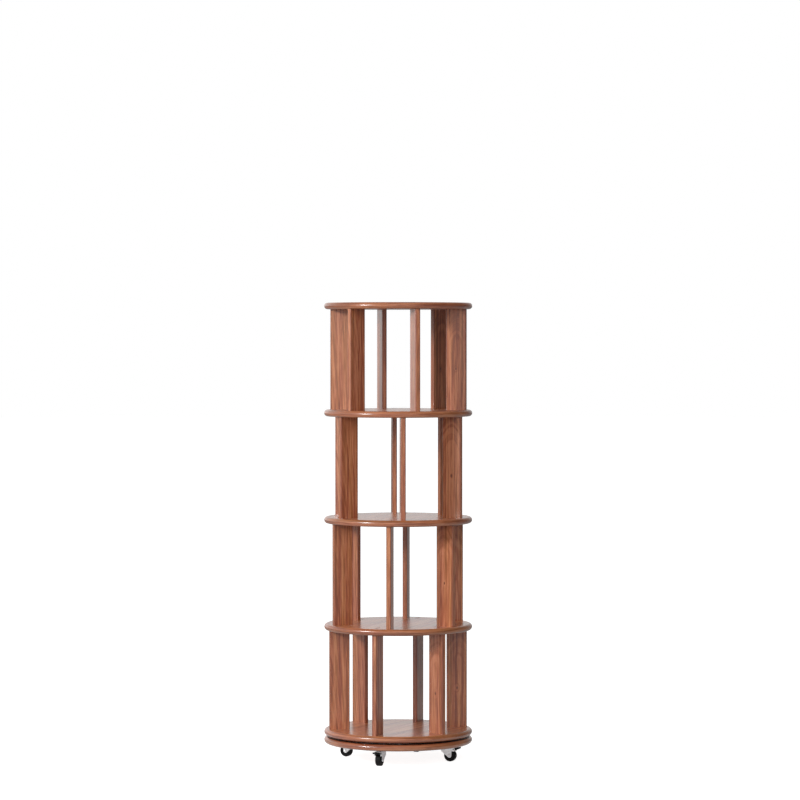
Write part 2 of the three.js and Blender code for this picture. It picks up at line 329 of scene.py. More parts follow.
def tones(value, stops):
    """The colour at a value between stops."""
    ramp = add(value.tree, "ShaderNodeValToRGB", {0: value})
    for position, colour in stops[1:-1]:
        ramp.color_ramp.elements.new(position).color = colour
    ramp.color_ramp.elements[0].color = stops[0][1]
    ramp.color_ramp.elements[-1].color = stops[-1][1]
    return Value(ramp.outputs[0])


def lacquered_wood(name, lay, heart_spread, tan_share, knot=False):
    """Stained wood under satin lacquer. The function lay gives the place across, through and along the
    grain, a number that differs from board to board, 1 on a rim, 1 on a face that gets painted gap shade, and
    0 elsewhere."""
    lacquer = {"Coat Weight": 1.0, "Coat IOR": lacquer_index, "Coat Roughness": lacquer_dullness}
    material, tree, shader = new_material(name, {"Specular IOR Level": wood_gloss, **lacquer})
    place, board, rim, gap_shade = lay(tree)
    across, through, along = place.parts()
    shifted = place + vector(tree, board * board_jump)
    sway = shifted.noise(sway_scale) - 0.5
    grain = shifted + vector(tree, sway * sway_width)

    side = through.spread(-half_board, half_board, smooth=True)
    heart = side * heart_reach + board.spread(0.0, 1.0, -heart_spread, heart_spread)
    late_climb = along.spread(climb_from, climb_to, 0.0, climb_height, smooth=True)
    climbs = {0: side, 2: late_climb, 3: along * heart_slope}
    depth = result(tree, "ShaderNodeMix", climbs, data_type="FLOAT") + heart_depth
    off = across - heart
    distance = (off * off + depth * depth).maths("SQRT") + sway * ring_sway_width
    if knot:
        eye_height = along - board.spread(0.0, 1.0, knot_low, knot_high)
        eye = vector(tree, across, eye_height * knot_squash).length()
        on_face = through.spread(*knot_face)
        distance = distance + eye.spread(0.0, knot_reach, knot_bulge, 0.0, smooth=True) * on_face
    growth = {"W": distance / ring_spacing + board * ring_jump, "Scale": 1.0}
    growth.update({"Detail": ring_detail, "Roughness": ring_roughness})
    rings = result(tree, "ShaderNodeTexNoise", growth, "Fac", noise_dimensions="1D")

    figure = rings.spread(*ring_seen, *ring_tone)
    layers = {}
    for layer, (scale, detail, roughness, seen, change) in wood_layers.items():
        layers[layer] = grain.noise(scale, detail, roughness)
        figure = figure + layers[layer].spread(*seen, *change)
    line = (grain.noise(line_scale) - 0.5).maths("ABSOLUTE")
    figure = figure + line.spread(0.0, line_width, line_tone, 0.0)
    tone = figure * rim.spread(0.0, 1.0, 1.0, rim_strength) + rim.spread(0.0, 1.0, board_tone, rim_tone)
    tone = tone + board.spread(0.0, 1.0, -tone_difference, tone_difference)
    tint = mixed(tree, grain.noise(hue_scale).spread(*hue_seen), wood_red, wood_tan)
    tint_share = rim.spread(0.0, 1.0, tan_share, rim_tan_share)
    colour = mixed(tree, tint_share, tones(tone, wood_tones), tint)
    pores = grain.noise(pore_scale, pore_detail).spread(*pore_seen)
    colour = mixed(tree, pores * pore_share, colour, wood_vein_and_gap_shade)
    if knot:
        dark = eye.spread(knot_radius, knot_core, 0.0, knot_darkness)
        colour = mixed(tree, dark * on_face, colour, wood_vein_and_gap_shade)
        # Painted shade: the rounded upright edges of each divider are darkened.
        wide = across.maths("ABSOLUTE").spread(*corner_across)
        thick = through.maths("ABSOLUTE").spread(*corner_through)
        colour = mixed(tree, wide * thick * corner_shade_share, colour, painted_edge_shade)
    # Painted shade: the flat faces inside the gap between boards are darkened.
    colour = mixed(tree, gap_shade * gap_shade_darkness, colour, wood_vein_and_gap_shade)

    dull = layers["bands"].spread(*bands_seen, *wood_dullness) + pores * pore_dullness
    surface(shader, colour, dull, layers["fibres"] * fibre_relief - pores, *wood_relief)
    return material


def planks(grain_angle, number, gap_shade_height=-1.0):
    """How the planks of a round board lie: side by side, at an angle from +Y towards +X. On the rim the
    grain runs round the board. A flat face at the given height, in the gap between boards, is painted dark as
    shade."""

    def lay(tree):
        place = own_place(tree)
        turn = (-math.pi / 2, 0, -math.radians(grain_angle))
        mapping = {"Vector": place, "Rotation": turn}
        aside, through, forward = result(tree, "ShaderNodeMapping", mapping, vector_type="TEXTURE").parts()
        count = aside / plank_width + number * plank_shift
        within = (count.maths("FRACT") - 0.5) * plank_width
        seed = count.maths("FLOOR") + number * plank_seed_jump
        board = result(tree, "ShaderNodeTexWhiteNoise", {"W": seed}, "Value", noise_dimensions="1D")
        joined = vector(tree, within, through, forward + board * plank_slide)

        x, y, z = place.parts()
        radius = vector(tree, x, y).length()
        round_way = x.maths("ARCTAN2", y * -1.0) * disc_radius
        lip = vector(tree, z * lip_coarseness, radius - disc_radius, round_way)
        lip_start = disc_radius - edge_lip
        on_lip = radius.spread(lip_start, lip_start + lip_blend)
        chosen = result(tree, "ShaderNodeMix", {0: on_lip, 4: joined, 5: lip}, 1, data_type="VECTOR")
        # Painted shade: 1 on the flat face at the given height, which lies inside the gap between boards.
        gap_shade = (z - gap_shade_height).maths("ABSOLUTE").spread(*gap_shade_reach, 1.0, 0.0)
        return chosen, board * on_lip.spread(0.0, 1.0, 1.0, 0.0), on_lip, gap_shade

    return lay


def round_board(low, high, pocket_below=False, pocket_above=False):
    """A round board between two heights, with a half-round edge and room for the bearing where asked."""
    nose = (high - low) / 2
    rims = arc((disc_radius - nose, low + nose), nose, -90, 90, disc_nose_steps)
    below = [(pocket_inner, low), (pocket_inner, low + bearing_pocket_depth)]
    below += [(pocket_outer, low + bearing_pocket_depth), (pocket_outer, low)]
    above = [(pocket_outer, high), (pocket_outer, high - bearing_pocket_depth)]
    above += [(pocket_inner, high - bearing_pocket_depth), (pocket_inner, high)]
    profile = [(0, low)] + below * pocket_below + rims + above * pocket_above + [(0, high)]
    return turned(profile, disc_round_steps)


finished(
    "base_board",
    round_board(disc_low.z, disc_high.z, pocket_above=True),
    lacquered_wood("base wood", planks(base_grain_angle, 1, disc_high.z), heart_spread=0.06, tan_share=0.6),
    "base",
    ["base_disc"],
)


# Caster plates and kingpins: pressed zinc-plated plates screwed to the underside of the base disc, each
# with the fixed half of a swivel race. A kingpin rivet with a domed foot holds the fork under it.
caster_names = ("front", "right", "back", "left")
plate_length = 0.046
plate_width = 0.040
plate_corner = 0.004
plate_hole_margin = 0.006
plate_edge = 0.0004
race_boss_radius = 0.0125
kingpin_radius = 0.004
kingpin_head_radius = 0.0065
kingpin_head_height = 0.0014
screw_head_radius = 0.0036
screw_head_height = 0.0013
cross_slot = 0.0007
plate_bottom = 0.0492
plate_top = 0.0517
race_boss_bottom = 0.0477
kingpin_foot = 0.0416
round_steps = 48
small_round_steps = 24
corner_arc_steps = 5
boss_edge_steps = 3
screw_dome_steps = 4
kingpin_foot_steps = 5

zinc_bright = (0.95, 0.96, 0.97, 1)
zinc_dull = (0.80, 0.81, 0.83, 1)
zinc_dullness = (0.38, 0.5)
zinc_relief = (0.15, 0.0001)
zinc_cloud_scale = (160.0, 160.0, 160.0)
cloud_detail = 3.0
cloud_seen = (0.3, 0.7)
scratch_scale = (2600.0, 300.0, 900.0)
scratch_dullness = 0.08


def caster_place(name):
    """Where a caster stands: its own X points outwards from the turning axis, Z is up."""
    joint_places = {joint["name"]: joint["pos_m"] for joint in frame["joints"]}
    pin = joint_places[f"{name}_caster_swivel_turn"]
    outwards = Vector((pin[0], pin[1], 0)).normalized()
    sideways = Vector((-outwards.y, outwards.x, 0))
    turn = Matrix((outwards, sideways, (0, 0, 1))).transposed().to_4x4()
    return Matrix.Translation((pin[0], pin[1], 0)) @ turn


def plain(body):
    """The mesh of an object with its modifiers carried out. The object itself is removed."""
    bpy.context.view_layer.update()
    graph = bpy.context.evaluated_depsgraph_get()
    mesh = bpy.data.meshes.new_from_object(
        body.evaluated_get(graph), preserve_all_data_layers=True, depsgraph=graph
    )
    bpy.data.objects.remove(body)
    return mesh


def bevelled(mesh, width, steps=2):
    """The mesh with its sharp edges rounded."""
    body = placed("bevelled", mesh)
    bevel = body.modifiers.new("rounded edges", "BEVEL")
    bevel.width = width
    bevel.segments = steps
    bevel.limit_method = "ANGLE"
    bevel.angle_limit = edge_angle
    return plain(body)


def slab(outline, low, high):
    """A flat piece from its outline in X and Y, between two heights."""
    shape = bmesh.new()
    under = [shape.verts.new((x, y, low)) for x, y in outline]
    over = [shape.verts.new((x, y, high)) for x, y in outline]
    shape.faces.new(under)
    shape.faces.new(over)
    for step in range(len(outline)):
        after = (step + 1) % len(outline)
        shape.faces.new([under[step], under[after], over[after], over[step]])
    return meshed(shape, "slab")


def rounded_rectangle(length, width, radius):
    """The outline of a rectangle with round corners."""
    x = length / 2 - radius
    y = width / 2 - radius
    corners = [((x, y), 0), ((-x, y), 90), ((-x, -y), 180), ((x, -y), 270)]
    turns = [arc(middle, radius, start, start + 90, corner_arc_steps) for middle, start in corners]
    return [point for turn in turns for point in turn]


def together(*meshes):
    """Several meshes as one."""
    shape = bmesh.new()
    for mesh in meshes:
        shape.from_mesh(mesh)
    joined = bpy.data.meshes.new("together")
    shape.to_mesh(joined)
    shape.free()
    return joined


def moved(mesh, matrix):
    """A copy of the mesh in another place."""
    copy = mesh.copy()
    copy.transform(matrix)
    return copy


def on_casters(name, mesh, material, body, node):
    """A finished piece on each of the four casters, riding on the base or on a body of that caster."""
    for caster in caster_names:
        own_mesh = moved(mesh, caster_place(caster))
        own_body = "base" if body == "base" else f"{caster}_caster_{body}"
        finished(f"{caster}_{name}", own_mesh, material, own_body, [f"{caster}_caster_{node}"])


def plated_steel():
    """Bright zinc plating: pale metal with a soft cloudy dullness and fine scratches."""
    material, tree, shader = new_material("zinc plated steel", {"Metallic": 1.0})
    place = own_place(tree)
    cloud = place.noise(zinc_cloud_scale, cloud_detail)
    scratches = place.noise(scratch_scale)
    colour = mixed(tree, cloud.spread(*cloud_seen), zinc_bright, zinc_dull)
    dull = cloud.spread(*cloud_seen, *zinc_dullness) + scratches * scratch_dullness
    surface(shader, colour, dull, scratches, *zinc_relief)
    return material


steel = plated_steel()
plate_slab = bevelled(
    slab(rounded_rectangle(plate_length, plate_width, plate_corner), plate_bottom, plate_top), plate_edge
)
boss_edge_middle = (race_boss_radius - plate_edge, race_boss_bottom + plate_edge)
race_boss = turned(
    [
        (kingpin_radius, race_boss_bottom),
        *arc(boss_edge_middle, plate_edge, -90, 0, boss_edge_steps),
        (race_boss_radius, plate_bottom + plate_edge),
        (kingpin_radius, plate_bottom + plate_edge),
    ],
    round_steps,
)
screw_dome = screw_head_height / 2
screw_dome_middle = (screw_head_radius - screw_dome, plate_bottom - screw_dome)
screw_top = plate_bottom - screw_head_height
plate_screw = turned(
    [
        (0, screw_top + cross_slot),
        (cross_slot, screw_top + cross_slot),
        (cross_slot * 2, screw_top),
        (screw_head_radius - screw_dome, screw_top),
        *arc(screw_dome_middle, screw_dome, -90, 0, screw_dome_steps),
        (screw_head_radius, plate_bottom + plate_edge),
        (0, plate_bottom + plate_edge),
    ],
    small_round_steps,
)
screw_x = plate_length / 2 - plate_hole_margin
screw_y = plate_width / 2 - plate_hole_margin
screw_places = [
    Matrix.Translation((x * screw_x, y * screw_y, 0)) for x, y in ((1, 1), (-1, 1), (-1, -1), (1, -1))
]
kingpin_neck = kingpin_foot + kingpin_head_height
kingpin_foot_middle = (kingpin_head_radius - kingpin_head_height, kingpin_neck)
kingpin_top = plate_top - kingpin_head_height / 2
kingpin = turned(
    [
        (0, kingpin_foot),
        *arc(kingpin_foot_middle, kingpin_head_height, -90, 0, kingpin_foot_steps),
        (kingpin_radius, kingpin_neck),
        (kingpin_radius, kingpin_top),
        (0, kingpin_top),
    ],
    round_steps,
)
screws = [moved(plate_screw, spot) for spot in screw_places]
mounting_plate = together(plate_slab, race_boss, *screws)
on_casters("mounting_plate", mounting_plate, steel, "base", "plate")
on_casters("kingpin_rivet", kingpin, steel, "base", "kingpin")


# Caster forks and axles: a fork is one zinc-plated sheet, pressed to a crown with a swivel race and two
# cheeks that taper to the axle. The axle is a bolt with a hexagon head and a closed nut.
fork_sheet = 0.002
fork_edge = 0.0003
fork_outside = 0.0115
fork_nose = -0.013
fork_crown_end = 0.022
fork_cheek_end = 0.031
fork_crown_top = 0.0453
fork_skirt = 0.0323
fork_bend = 0.0022
fork_tip_radius = 0.0065
fork_column_spacing = 0.006
fork_cheek_steps = 5
fork_bend_steps = 5
fork_tip_steps = 14
caster_trail = 0.014
wheel_radius = 0.019
race_radius = 0.013
race_top = 0.0473
race_round = 0.0009
race_round_steps = 4
race_bore = kingpin_radius * 1.1
axle_radius = 0.0025
axle_head_flats = 0.0039
axle_head_height = 0.0021
axle_chamfer = 0.0005
hexagon_sides = 6


def mirrored(profile):
    """The profile of the other half of a turned piece, in reverse order."""
    return [(radius, -height, *flat) for radius, height, *flat in reversed(profile)]


def fork_columns():
    """Points (x, lowest z) along the lower edge of a cheek, from the nose to the brake end."""
    to_skirt = Vector((fork_nose - caster_trail, fork_skirt - wheel_radius))
    start = math.atan2(to_skirt.y, to_skirt.x) + math.acos(fork_tip_radius / to_skirt.length)
    tip = arc((caster_trail, wheel_radius), fork_tip_radius, math.degrees(start), 360, fork_tip_steps)
    tip_x, tip_low = tip[0]
    slope = (tip_low - fork_skirt) / (tip_x - fork_nose)
    between = [tip_x - fork_column_spacing * step for step in (2, 1)]
    straight = [(x, fork_skirt + slope * (x - fork_nose)) for x in between]
    rear_x = tip[-1][0] + fork_sheet / 4
    rear = [(rear_x, fork_skirt), (fork_crown_end, fork_skirt), (fork_cheek_end, fork_skirt)]
    return [(fork_nose, fork_skirt), *straight, *tip, *rear]


def fork_mesh():
    """The pressed sheet: a strip over cheek, bend, crown, bend and cheek, thickened afterwards."""
    middle = fork_outside - fork_sheet / 2
    top = fork_crown_top - fork_sheet / 2
    bend_middle = middle - fork_bend
    shape = bmesh.new()
    grid = []
    for x, low in fork_columns():
        rise = top - fork_bend - low
        cheek = [(middle, low + rise * step / fork_cheek_steps) for step in range(fork_cheek_steps)]
        bend = arc((bend_middle, top - fork_bend), fork_bend, 0, 90, fork_bend_steps)
        half = cheek + bend
        strip = half + [(0, top)] + [(-y, z) for y, z in reversed(half)]
        grid.append([shape.verts.new((x, y, z)) for y, z in strip])
    crown_from = len(half) - 1
    crown_to = len(grid[0]) - 1 - crown_from
    for before, after in zip(grid, grid[1:]):
        open_top = before[0].co.x >= fork_crown_end - fork_edge
        for step in range(len(before) - 1):
            if open_top and crown_from <= step < crown_to:
                continue
            shape.faces.new([before[step], before[step + 1], after[step + 1], after[step]])
    sheet = placed("fork sheet", meshed(shape, "fork sheet"))
    wall = sheet.modifiers.new("sheet", "SOLIDIFY")
    wall.thickness = fork_sheet
    wall.offset = 0
    wall.use_even_offset = True
    return bevelled(plain(sheet), fork_edge)


swivel_race = turned(
    [
        (race_bore, fork_crown_top - fork_sheet / 2),
        (race_radius, fork_crown_top - fork_sheet / 2),
        *arc((race_radius - race_round, race_top - race_round), race_round, 0, 90, race_round_steps),
        (race_bore, race_top),
    ],
    round_steps,
)
axle_out = fork_outside + axle_head_height
axle_half = [
    (axle_radius, 0),
    (axle_radius, fork_outside - fork_edge),
    (axle_head_flats, fork_outside - fork_edge, 1),
    (axle_head_flats, axle_out - axle_chamfer, 1),
    (axle_head_flats - axle_chamfer, axle_out),
    (0, axle_out),
]
axle_bolt = turned(mirrored(axle_half) + axle_half[1:], small_round_steps, hexagon_sides)
axle_place = Matrix.Translation((caster_trail, 0, wheel_radius)) @ Matrix.Rotation(math.pi / 2, 4, "X")
axle_bolt.transform(axle_place)
on_casters("fork", together(fork_mesh(), swivel_race), steel, "swivel", "fork")
on_casters("axle_bolt", axle_bolt, steel, "swivel", "axle")


# Caster wheels: a moulded black hub with a dished face and six ribs, and a black rubber tyre with
# rounded shoulders round it. Hub and tyre turn together on the axle.
wheel_half_width = 0.0085
wheel_shoulder = 0.0025
wheel_crown = 0.0002
tyre_inner = 0.0133
tyre_step = 0.0006
hub_bore = 0.0028
hub_boss = 0.0068
hub_dish_depth = 0.0015
hub_round = 0.0004
rib_count = 6
rib_half_width = 0.0006
shoulder_steps = 7
tyre_round_steps = 64
hub_round_steps = 60

rubber_black = (0.004, 0.004, 0.0045, 1)
rubber_dusty = (0.014, 0.0135, 0.013, 1)
rubber_grain = 1800.0
rubber_dullness = (0.5, 0.68)
plastic_black = (0.004, 0.004, 0.0045, 1)
plastic_worn = (0.011, 0.011, 0.0115, 1)
plastic_grain = 2400.0
plastic_dullness = (0.34, 0.5)
moulding_relief = (0.2, 0.0001)
moulding_gloss = 0.2
dust_scale = (140.0, 140.0, 140.0)
dust_seen = (0.45, 0.75)
dust_share = 0.8


def black_moulding(name, main, worn, grain, dullness):
    """Black rubber or plastic with a fine moulded grain, a little paler where it is worn or dusty."""
    material, tree, shader = new_material(name, {"Specular IOR Level": moulding_gloss})
    place = own_place(tree)
    fine = place.noise((grain, grain, grain))
    cloud = place.noise(dust_scale, cloud_detail)
    colour = mixed(tree, cloud.spread(*dust_seen, 0.0, dust_share), main, worn)
    surface(shader, colour, cloud.spread(*cloud_seen, *dullness), fine, *moulding_relief)
    return material


rubber = black_moulding("tyre rubber", rubber_black, rubber_dusty, rubber_grain, rubber_dullness)
plastic = black_moulding("black plastic", plastic_black, plastic_worn, plastic_grain, plastic_dullness)
shoulder_middle = (wheel_radius - wheel_crown - wheel_shoulder, wheel_half_width - wheel_shoulder)
tyre_half = [
    (wheel_radius, 0),
    *arc(shoulder_middle, wheel_shoulder, 0, 90, shoulder_steps),
    (tyre_inner, wheel_half_width - tyre_step),
]
tyre = turned(mirrored(tyre_half) + tyre_half[1:], tyre_round_steps)
tyre.transform(axle_place)
dish_face = wheel_half_width - hub_dish_depth
hub_half = [
    (hub_bore, wheel_half_width),
    (hub_boss - hub_round, wheel_half_width),
    (hub_boss, wheel_half_width - hub_round),
    (hub_boss + hub_round, dish_face),
    (tyre_inner - hub_dish_depth, dish_face),
    (tyre_inner - hub_round, wheel_half_width - tyre_step),
    (tyre_inner + hub_round, wheel_half_width - tyre_step * 2),
]
hub = turned(hub_half + mirrored(hub_half), hub_round_steps)
rib_low = dish_face - hub_round
rib_high = wheel_half_width - hub_round * 2
rib_end = tyre_inner - hub_round * 2
rib_outline = [
    (hub_boss, -rib_half_width),
    (rib_end, -rib_half_width),
    (rib_end, rib_half_width),
    (hub_boss, rib_half_width),
]
rib = slab(rib_outline, rib_low, rib_high)
ribs = [
    moved(rib, Matrix.Rotation(side, 4, "X") @ Matrix.Rotation(2 * math.pi * number / rib_count, 4, "Z"))
    for number in range(rib_count)
    for side in (0, math.pi)
]
hub = together(hub, *ribs)
hub.transform(axle_place)
on_casters("tyre", tyre, rubber, "wheel", "wheel")
on_casters("hub", hub, plastic, "wheel", "wheel")


# Brake pedals: black plastic levers hinged between the cheeks of each fork. The toe presses the broad
# ribbed blade down, and a cam behind the pivot then grips the tread.
pedal_pivot = (0.027, 0.039)
pedal_pivot_radius = 0.002
pedal_hub_radius = 0.004
pedal_body_width = 0.017
pedal_blade_start = 0.0325
pedal_blade_end = 0.045
pedal_blade_top = 0.0428
pedal_blade_bottom = 0.0383
pedal_blade_width = 0.024
pedal_tip_rise = 0.002
pedal_cam = (0.0285, 0.0344)
pedal_edge = 0.0009
pedal_hub_steps = 7
pedal_edge_steps = 3
blade_steps = 6
grip_count = 3
grip_lead = 1.6
grip_radius = 0.0006
grip_round_steps = 12


def upright_slab(outline, width):
    """A piece from its outline in X and Z, as wide as given along Y."""
    mesh = slab([(x, -z) for x, z in outline], -width / 2, width / 2)
    mesh.transform(Matrix.Rotation(-math.pi / 2, 4, "X"))
    return mesh


def blade_line(height, rise):
    """Points along the blade, which curls up towards its tip."""
    length = pedal_blade_end - pedal_blade_start
    shares = [step / blade_steps for step in range(blade_steps + 1)]
    return [(pedal_blade_start + length * share, height + rise * share * share) for share in shares]


blade_middle = (pedal_blade_start + pedal_blade_end) / 2
lever_outline = [
    *arc(pedal_pivot, pedal_hub_radius, 90, 200, pedal_hub_steps),
    pedal_cam,
    (pedal_blade_start, pedal_pivot[1] - pedal_hub_radius),
    (blade_middle, pedal_blade_bottom + pedal_edge),
    (blade_middle, pedal_blade_top - pedal_edge / 2),
    (pedal_blade_start, pedal_blade_top),
]
lever = bevelled(upright_slab(lever_outline, pedal_body_width), pedal_edge / 2)
blade_outline = blade_line(pedal_blade_bottom, pedal_tip_rise)
blade_outline += list(reversed(blade_line(pedal_blade_top, pedal_tip_rise)))
blade = bevelled(upright_slab(blade_outline, pedal_blade_width), pedal_edge, pedal_edge_steps)
trunnion = turned(
    [
        (0, -fork_outside),
        (pedal_pivot_radius, -fork_outside),
        (pedal_pivot_radius, fork_outside),
        (0, fork_outside),
    ],
    small_round_steps,
)
pivot_place = Matrix.Translation((pedal_pivot[0], 0, pedal_pivot[1]))
trunnion.transform(pivot_place @ Matrix.Rotation(math.pi / 2, 4, "X"))
grip_length = pedal_blade_width - 4 * pedal_edge
grips = []
for number in range(grip_count):
    share = (number + grip_lead) / (grip_count + grip_lead)
    grip = turned(
        [
            (0, -grip_length / 2),
            (grip_radius, -grip_length / 2 + grip_radius),
            (grip_radius, grip_length / 2 - grip_radius),
            (0, grip_length / 2),
        ],
        grip_round_steps,
    )
    x = pedal_blade_start + (pedal_blade_end - pedal_blade_start) * share
    z = pedal_blade_top + pedal_tip_rise * share * share
    grip.transform(Matrix.Translation((x, 0, z)) @ Matrix.Rotation(math.pi / 2, 4, "X"))
    grips.append(grip)
pedal = together(lever, blade, trunnion, *grips)
on_casters("pedal", pedal, plastic, "brake", "brake_pedal")


# Ring bearing: two thin aluminium rings, one let into the base disc and one into the bottom shelf. They
# face each other across a ring of steel balls, which a thin band of plated steel keeps apart.
ball_track_radius = 0.1275
ball_radius = 0.002
ball_count = 18
ball_subdivisions = 3
race_wall = 0.0008
race_groove = 0.0023
race_groove_steps = 8
race_steps = 120
ring_chamfer = 0.0004
cage_half_thickness = 0.0004
cage_low, cage_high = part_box("turntable_ball_cage")
ball_height = (cage_low.z + cage_high.z) / 2
cage_half_height = 0.0015

aluminium_pale = (0.70, 0.71, 0.72, 1)
aluminium_grey = (0.52, 0.53, 0.54, 1)
aluminium_dullness = (0.26, 0.42)
aluminium_relief = (0.2, 0.00005)
turning_scale = (5000.0, 5000.0, 1.0)
turning_seen = (0.2, 0.8)


def turned_aluminium():
    """Turned aluminium: fine lines round the axis, from the distance to it."""
    material, tree, shader = new_material("turned aluminium", {"Metallic": 1.0})
    place = own_place(tree)
    radius = (place * (1.0, 1.0, 0.0)).length()
    lines = vector(tree, radius, place.parts()[2]).noise(turning_scale)
    colour = mixed(tree, lines, aluminium_pale, aluminium_grey)
    surface(shader, colour, lines.spread(*turning_seen, *aluminium_dullness), lines, *aluminium_relief)
    return material


def race_ring(side, low, high):
    """One ring of the bearing: side is 1 for the outer ring and -1 for the inner one."""
    wall = ball_track_radius + side * race_wall
    far = wall + side * bearing_ring_width
    half_angle = math.degrees(math.acos(race_wall / race_groove))
    middle = 0 if side > 0 else 180
    groove_from = middle - side * half_angle
    groove_to = middle + side * half_angle
    track = (ball_track_radius, ball_height)
    groove = arc(track, race_groove, groove_from, groove_to, race_groove_steps)
    edge = side * ring_chamfer
    return turned(
        [
            (wall + edge, low),
            (wall, low + ring_chamfer),
            *groove,
            (wall, high - ring_chamfer),
            (wall + edge, high),
            (far - edge, high),
            (far, high - ring_chamfer),
            (far, low + ring_chamfer),
            (far - edge, low),
        ],
        race_steps,
    )


def new_tree(name, inputs):
    """A Geometry Nodes tree with named inputs, and the values that these inputs give."""
    tree = bpy.data.node_groups.new(name, "GeometryNodeTree")
    for label, kind in inputs.items():
        tree.interface.new_socket(label, in_out="INPUT", socket_type=f"NodeSocket{kind}")
    tree.interface.new_socket("Result", in_out="OUTPUT", socket_type="NodeSocketGeometry")
    given = add(tree, "NodeGroupInput").outputs
    return tree, {label: Value(given[label]) for label in inputs}


def copied(tree, part, count, spot, turn=None):
    """A number of copies of a part, each at its own spot and turned there."""
    points = result(tree, "GeometryNodePoints", {"Count": count, "Position": spot})
    copying = {"Points": points, "Instance": part}
    if turn:
        copying["Rotation"] = result(tree, "FunctionNodeEulerToRotation", {0: turn})
    return result(tree, "GeometryNodeInstanceOnPoints", copying)


def ended(tree, copies, material):
    """The tree with its end: the copies are made real, get their material and are handed out."""
    real = result(tree, "GeometryNodeRealizeInstances", {"Geometry": copies})
    coated = result(tree, "GeometryNodeSetMaterial", {"Geometry": real, "Material": material})
    add(tree, "NodeGroupOutput", {"Result": coated})
    return tree


def ball_ring_tree():
    """Geometry Nodes: a number of balls, evenly spread round a circle."""
    inputs = {"Count": "Int", "Ball radius": "Float", "Track radius": "Float", "Height": "Float"}
    tree, sizes = new_tree("ball ring", inputs)
    turn = result(tree, "GeometryNodeInputIndex") * (2 * math.pi / sizes["Count"])
    x = turn.maths("COSINE") * sizes["Track radius"]
    y = turn.maths("SINE") * sizes["Track radius"]
    roundness = {"Radius": sizes["Ball radius"], "Subdivisions": ball_subdivisions}
    ball = result(tree, "GeometryNodeMeshIcoSphere", roundness)
    return ended(tree, copied(tree, ball, sizes["Count"], vector(tree, x, y, sizes["Height"])), steel)


def grown(tree, sizes, mesh=None):
    """A plain mesh from a Geometry Nodes tree and its named sizes."""
    body = placed(tree.name, mesh or bpy.data.meshes.new(tree.name))
    maker = body.modifiers.new(tree.name, "NODES")
    maker.node_group = tree
    for socket in tree.interface.items_tree:
        if socket.item_type == "SOCKET" and socket.name in sizes:
            maker[socket.identifier] = sizes[socket.name]
    return plain(body)


ball_sizes = {
    "Count": ball_count,
    "Ball radius": ball_radius,
    "Track radius": ball_track_radius,
    "Height": ball_height,
}
balls = grown(ball_ring_tree(), ball_sizes)
cage = turned(
    [
        (ball_track_radius - cage_half_thickness, ball_height - cage_half_height),
        (ball_track_radius + cage_half_thickness, ball_height - cage_half_height),
        (ball_track_radius + cage_half_thickness, ball_height + cage_half_height),
        (ball_track_radius - cage_half_thickness, ball_height + cage_half_height),
    ],
    race_steps,
)
aluminium = turned_aluminium()
lower_race = race_ring(1, lower_ring_low.z, lower_ring_high.z)
upper_race = race_ring(-1, upper_ring_low.z, upper_ring_high.z)
caged_balls = together(cage, balls)
finished("lower_race_ring", lower_race, aluminium, "base", ["turntable_lower_ring"])
finished("caged_balls", caged_balls, steel, "ball_cage", ["turntable_ball_cage"])
finished("upper_race_ring", upper_race, aluminium, "carousel", ["turntable_upper_ring"])


# Shelves: five round boards like the base disc, glued up from planks that run at a slightly different
# angle in each. Countersunk holes take the screws that hold the dividers under and over each shelf.
shelf_names = ("bottom_shelf", "second_shelf", "third_shelf", "fourth_shelf", "top_shelf")
shelf_grain_angles = (28, 17, 10, 2, -8)
dividers_per_tier = 6
first_azimuth = math.radians(-19.83)
tier_twist = math.radians(12)
screw_ring_radius = 0.1853
screw_pair_spacing = 0.020
sink_radius = 0.0062
sink_foot_radius = 0.0054
sink_depth = 0.0016
sink_round_steps = 32
overrun = 0.0002
screw_turn_seed = 4


def radial_spot(azimuth, radius, height):
    """The place at an azimuth from the front towards +X, at a radius from the turning axis."""
    x = azimuth.maths("SINE") * radius
    y = azimuth.maths("COSINE") * (radius * -1.0)
    return vector(azimuth.tree, x, y, height)


def paired_ring_tree():
    """Geometry Nodes: copies of a mesh in pairs on radial lines, upright or upside down."""
    inputs = {"Part": "Geometry", "Lines": "Int", "Ring radius": "Float", "Spacing": "Float"}
    inputs.update({"Azimuth": "Float", "Height": "Float", "Overturn": "Float", "Material": "Material"})
    tree, sizes = new_tree("paired ring", inputs)
    index = result(tree, "GeometryNodeInputIndex")
    line = (index / 2.0).maths("FLOOR")
    side = index.maths("MODULO", 2.0) - 0.5
    azimuth = sizes["Azimuth"] + line * (2 * math.pi / sizes["Lines"])
    radius = sizes["Ring radius"] + side * sizes["Spacing"]
    spot = radial_spot(azimuth, radius, sizes["Height"])
    drawing = {"Max": 1.0, "Seed": screw_turn_seed}
    chance = result(tree, "FunctionNodeRandomValue", drawing, 1, data_type="FLOAT")
    turn = vector(tree, sizes["Overturn"], 0.0, chance * math.pi)
    return ended(tree, copied(tree, sizes["Part"], sizes["Lines"] * 2.0, spot, turn), sizes["Material"])


def ring_sizes(tier, height, material, from_below):
    """The named sizes of a paired ring over or under the dividers of a tier."""
    return {
        "Lines": dividers_per_tier,
        "Ring radius": screw_ring_radius,
        "Spacing": screw_pair_spacing,
        "Azimuth": first_azimuth + tier * tier_twist,
        "Height": height,
        "Overturn": math.pi if from_below else 0.0,
        "Material": material,
    }


